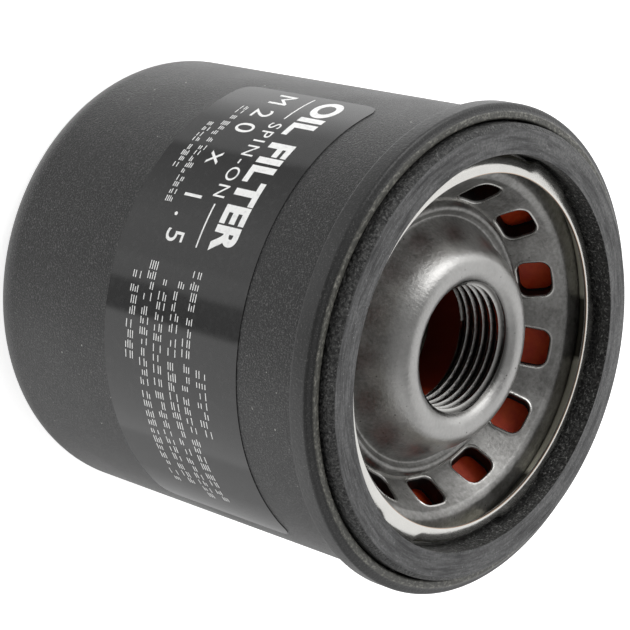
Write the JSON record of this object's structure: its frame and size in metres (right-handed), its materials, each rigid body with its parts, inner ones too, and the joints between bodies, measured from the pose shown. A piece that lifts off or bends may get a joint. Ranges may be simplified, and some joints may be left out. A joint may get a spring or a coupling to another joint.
{
  "type": "oil filter",
  "caption": "Spin-on engine oil filter: drawn steel can with a seamed lid, sealing ring, threaded base plate, check valve, pleated element and relief valve inside.",
  "frame": {"origin": "centre of the closed end's underside, on the floor it stands on", "axes": "+Z along the thread's axis, out of the threaded end"},
  "size_m": [0.0712, 0.0712, 0.0702],
  "materials": {
    "can_paint": "black powder coat, fine grain",
    "label_film": "gloss black film",
    "lid_tinplate": "bright tinplate",
    "seam_sealant": "sealing compound",
    "gasket_rubber": "moulded nitrile, grey dusty top",
    "plate_steel": "pressed steel, oiled",
    "valve_silicone": "orange-red silicone, satin",
    "cap_steel": "zinc-plated sheet",
    "plastisol": "cured potting compound",
    "filter_paper": "resin-treated filter paper",
    "clip_steel": "bright strip",
    "tube_steel": "perforated sheet",
    "seal_rubber": "moulded nitrile",
    "valve_steel": "zinc-plated sheet",
    "spring_steel": "oil-tempered wire"
  },
  "bodies": {
    "housing": {"can": "can_paint", "label": "label_film", "gasket_retainer": "lid_tinplate", "seam_compound": "seam_sealant", "gasket": "gasket_rubber", "base_plate": "plate_steel", "drainback_valve_hub": "valve_silicone", "element_spring": "spring_steel"},
    "element": {"element_top_cap": "cap_steel", "element_bottom_cap": "cap_steel", "top_cap_adhesive": "plastisol", "bottom_cap_adhesive": "plastisol", "pleated_media": "filter_paper", "media_seam_clip": "clip_steel", "center_tube": "tube_steel", "bypass_cage": "valve_steel", "bypass_seat_seal": "seal_rubber", "bypass_spring": "spring_steel"},
    "drainback_lip": {"drainback_valve_lip": "valve_silicone"},
    "bypass_valve": {"bypass_poppet": "valve_steel", "bypass_stem_clip": "clip_steel"}
  },
  "joints": [
    {"name": "element_float", "type": "slide", "parent": "housing", "child": "element", "axis": [0, 0, -1], "range_m": [0, 0.0015], "stiffness_N_per_m": 6000, "springref_m": -0.01, "deforming": ["element_spring"]},
    {"name": "drainback_lift", "type": "slide", "parent": "housing", "child": "drainback_lip", "axis": [0, 0, -1], "range_m": [0, 0.001], "stiffness_N_per_m": 300, "springref_m": -0.002},
    {"name": "bypass_lift", "type": "slide", "parent": "element", "child": "bypass_valve", "axis": [0, 0, 1], "range_m": [0, 0.003], "stiffness_N_per_m": 3000, "springref_m": -0.005, "deforming": ["bypass_spring"]}
  ]
}
